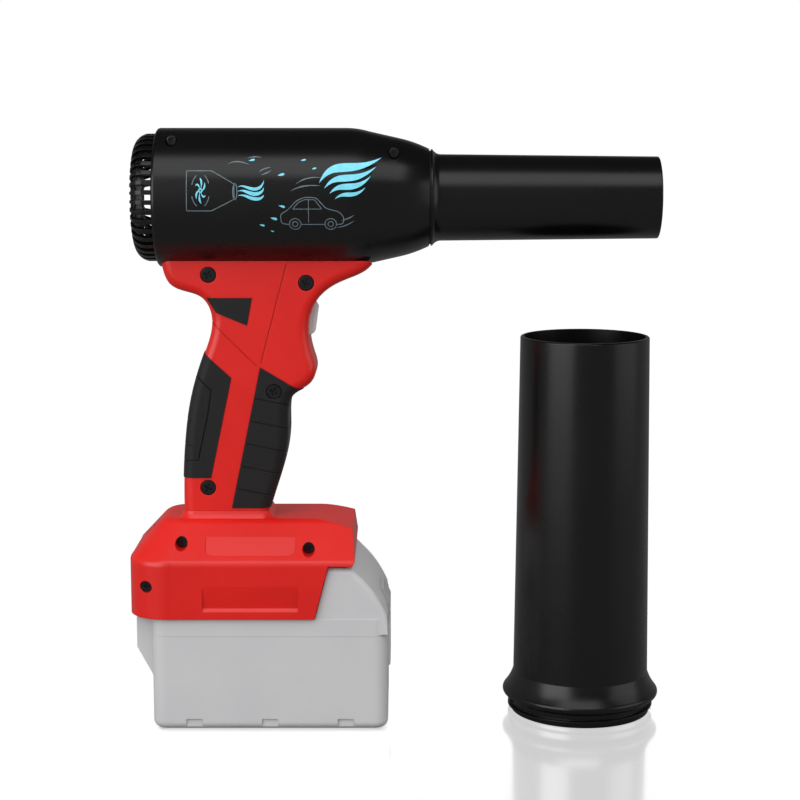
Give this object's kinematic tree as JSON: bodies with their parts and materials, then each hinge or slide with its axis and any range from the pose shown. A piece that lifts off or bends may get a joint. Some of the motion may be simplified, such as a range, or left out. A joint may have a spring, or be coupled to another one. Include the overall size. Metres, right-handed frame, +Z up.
{
  "type": "car dryer blower",
  "caption": "Cordless pistol-grip air blower for drying cars: ribbed rear intake, screw-on nozzle, slide-in battery and a spare wide nozzle.",
  "frame": {"origin": "middle of the battery's flat base", "axes": "+X along the barrel towards the nozzle, +Y to the tool's left, +Z up"},
  "size_m": [0.2691, 0.0804, 0.2985],
  "materials": {
    "red_shell": "satin moulded ABS, fine grain",
    "black_shell": "satin black moulded ABS",
    "black_nozzle": "fine matte black",
    "soft_grip": "matte overmoulded elastomer",
    "seal_rubber": "smooth rubber",
    "screw_steel": "black oxide",
    "trigger_plastic": "pale grey satin",
    "duct_plastic": "black glass-filled nylon",
    "impeller_alloy": "machined and anodised",
    "motor_steel": "plated",
    "copper_winding": "enamelled copper",
    "bearing_steel": "ground",
    "magnet": "nickel plated",
    "spring_steel": "drawn wire",
    "board_green": "solder mask",
    "capacitor_sleeve": "shrink sleeve",
    "heat_sink": "extruded",
    "wire_insulation": "silicone insulation",
    "contact_brass": "nickel-plated brass",
    "battery_plastic": "pale grey satin",
    "battery_pad": "pale grey, fine grain",
    "cell_sleeve": "shrink sleeve",
    "holder_plastic": "black ABS",
    "nickel_strip": "rolled"
  },
  "bodies": {
    "housing": {"barrel_shell_right": "black_shell", "barrel_shell_left": "black_shell", "barrel_screws": "screw_steel", "intake_grille": "black_shell", "fan_duct": "duct_plastic", "tail_cone": "duct_plastic", "motor_can": "motor_steel", "motor_end_cap": "motor_steel", "motor_stator": "motor_steel", "motor_coils": "copper_winding", "bearing_rear": "bearing_steel", "bearing_front": "bearing_steel", "handle_shell_right": "red_shell", "handle_shell_left": "red_shell", "front_grip_right": "soft_grip", "front_grip_left": "soft_grip", "rear_grip_right": "soft_grip", "rear_grip_left": "soft_grip", "web_pad_right": "soft_grip", "web_pad_left": "soft_grip", "handle_screws": "screw_steel", "trigger_switch": "holder_plastic", "trigger_spring": "spring_steel", "foot_shell_right": "red_shell", "foot_shell_left": "red_shell", "foot_screws": "screw_steel", "terminal_block": "holder_plastic", "terminal_blades": "contact_brass", "control_board": "board_green", "board_heat_sink": "heat_sink", "board_capacitors": "capacitor_sleeve", "phase_wires": "wire_insulation", "switch_leads": "wire_insulation"},
    "rotor": {"motor_shaft": "bearing_steel", "motor_magnets": "magnet", "impeller": "impeller_alloy", "impeller_spinner": "impeller_alloy"},
    "gasket": {"nozzle_gasket": "seal_rubber"},
    "nozzle": {"nozzle": "black_nozzle"},
    "wide_nozzle": {"wide_nozzle": "black_nozzle"},
    "trigger": {"trigger": "trigger_plastic"},
    "battery": {"battery_lower_case": "battery_plastic", "battery_upper_case": "battery_plastic", "battery_screws": "screw_steel", "latch_spring": "spring_steel", "battery_cells": "cell_sleeve", "cell_holder": "holder_plastic", "cell_straps": "nickel_strip", "battery_board": "board_green", "battery_contacts": "contact_brass"},
    "battery_latch": {"battery_latch": "battery_pad"}
  },
  "joints": [
    {"name": "rotor_spin", "type": "hinge", "parent": "housing", "child": "rotor", "pos_m": [-0.03, 0, 0.264], "axis": [1, 0, 0], "continuous": true},
    {"name": "nozzle_advance", "type": "slide", "parent": "housing", "child": "gasket", "axis": [1, 0, 0], "range_m": [0, 0.006]},
    {"name": "nozzle_turn", "type": "hinge", "parent": "gasket", "child": "nozzle", "pos_m": [0.0795, 0, 0.264], "axis": [1, 0, 0], "range_deg": [0, 900]},
    {"name": "trigger_pull", "type": "slide", "parent": "housing", "child": "trigger", "axis": [-1, 0, 0], "range_m": [0, 0.005], "stiffness_N_per_m": 600, "springref_m": -0.003, "deforming": ["trigger_spring"]},
    {"name": "battery_slide", "type": "slide", "parent": "housing", "child": "battery", "axis": [1, 0, 0], "range_m": [0, 0.055]},
    {"name": "latch_press", "type": "slide", "parent": "battery", "child": "battery_latch", "axis": [0, 0, -1], "range_m": [0, 0.0035], "stiffness_N_per_m": 800, "springref_m": -0.003, "deforming": ["latch_spring"]},
    {"name": "wide_nozzle_away", "type": "slide", "parent": "housing", "child": "wide_nozzle", "axis": [0, -1, 0], "range_m": [0, 0.12]}
  ],
  "couplings": [
    {"joint": "nozzle_advance", "follows": "nozzle_turn", "m_per_rad": 0.00038197}
  ]
}
